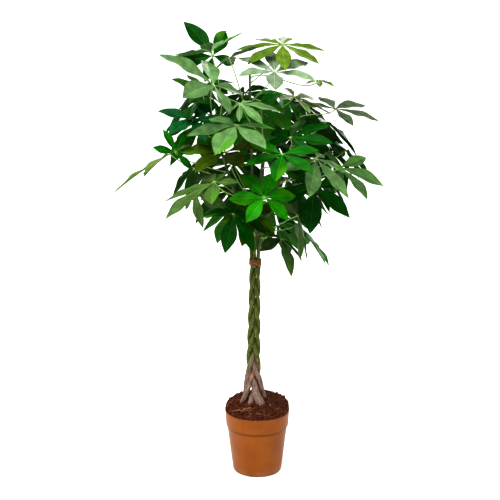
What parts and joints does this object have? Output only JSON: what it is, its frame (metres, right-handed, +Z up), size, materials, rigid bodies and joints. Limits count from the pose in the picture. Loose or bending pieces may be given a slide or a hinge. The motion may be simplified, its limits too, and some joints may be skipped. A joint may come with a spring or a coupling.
{
  "type": "potted money tree",
  "caption": "Braided-trunk money tree with a round crown of palmate leaves, standing in peat in a plain tapered plastic nursery pot.",
  "frame": {"origin": "centre of the pot's underside, on the surface that the pot stands on", "axes": "+Z up along the trunk; -Y is the front, the side with most of the outer leaves; +X is to the right seen from the front"},
  "size_m": [0.8258, 0.8196, 1.4465],
  "materials": {
    "pot_plastic": "terracotta-coloured moulded plastic with a soft sheen",
    "peat": "moist dark peat, crumbly",
    "bark": "smooth young bark, grey-brown at the foot and green above",
    "tie_band": "soft brown tape",
    "leaf": "smooth waxy green leaf with paler veins"
  },
  "bodies": {
    "root": {"pot": "pot_plastic", "soil": "peat", "stem_1": "bark", "stem_2": "bark", "stem_3": "bark", "stem_4": "bark", "stem_5": "bark", "braid_tie": "tie_band", "leaf_01": "leaf", "leaf_02": "leaf", "leaf_03": "leaf", "leaf_04": "leaf", "leaf_05": "leaf", "leaf_06": "leaf", "leaf_07": "leaf", "leaf_08": "leaf", "leaf_09": "leaf", "leaf_10": "leaf", "leaf_11": "leaf", "leaf_12": "leaf", "leaf_13": "leaf", "leaf_14": "leaf", "leaf_15": "leaf", "leaf_16": "leaf", "leaf_17": "leaf", "leaf_18": "leaf", "leaf_19": "leaf", "leaf_20": "leaf", "leaf_21": "leaf", "leaf_22": "leaf", "leaf_23": "leaf", "leaf_24": "leaf", "leaf_25": "leaf", "leaf_26": "leaf", "leaf_27": "leaf", "leaf_28": "leaf", "leaf_29": "leaf", "leaf_30": "leaf", "leaf_31": "leaf", "leaf_32": "leaf", "leaf_33": "leaf", "leaf_34": "leaf", "leaf_35": "leaf", "leaf_36": "leaf", "leaf_37": "leaf", "leaf_38": "leaf", "leaf_39": "leaf", "leaf_40": "leaf", "leaf_41": "leaf", "leaf_42": "leaf", "leaf_43": "leaf", "leaf_44": "leaf", "leaf_45": "leaf", "leaf_46": "leaf", "leaf_47": "leaf", "leaf_48": "leaf", "leaf_49": "leaf", "leaf_50": "leaf", "leaf_51": "leaf", "leaf_52": "leaf"}
  },
  "joints": []
}
